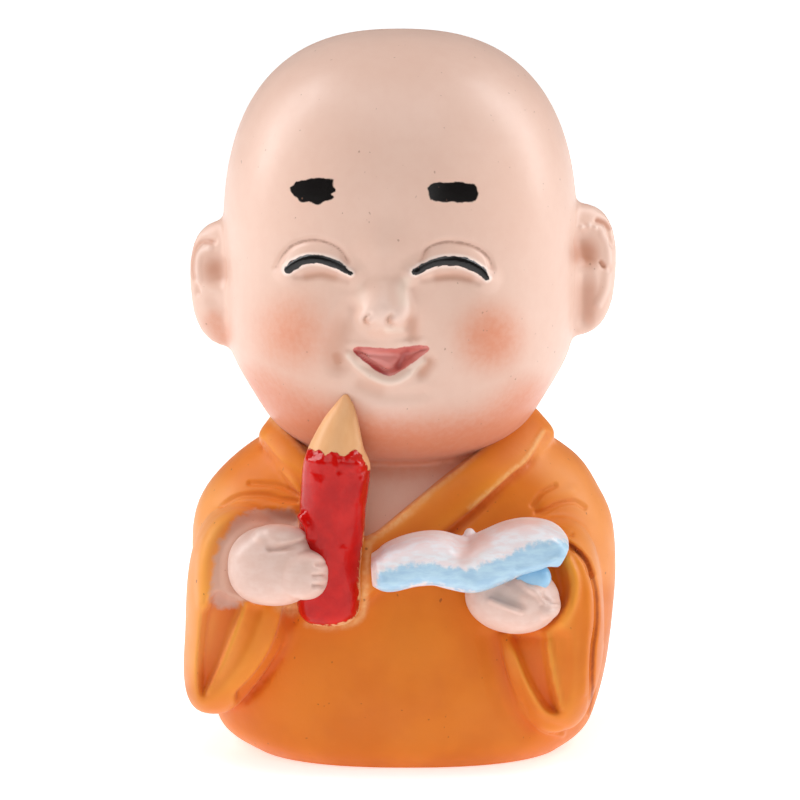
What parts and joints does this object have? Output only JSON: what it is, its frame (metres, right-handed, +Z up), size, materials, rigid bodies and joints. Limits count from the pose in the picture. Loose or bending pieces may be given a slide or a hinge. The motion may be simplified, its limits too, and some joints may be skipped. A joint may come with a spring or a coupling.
{
  "type": "baby monk statue",
  "caption": "Small painted resin figurine of a smiling baby monk in an orange robe, holding a pencil and an open book, standing on a flat underside.",
  "frame": {"origin": "centre of the flat underside, on the surface that the figurine stands on", "axes": "+Z up through the crown, -Y towards the viewer whom the face looks at, +X to that viewer's right"},
  "size_m": [0.0325, 0.0281, 0.054],
  "materials": {
    "painted_resin": "satin hand paint on cast resin"
  },
  "bodies": {
    "root": {"monk_figurine": "painted_resin"}
  },
  "joints": []
}
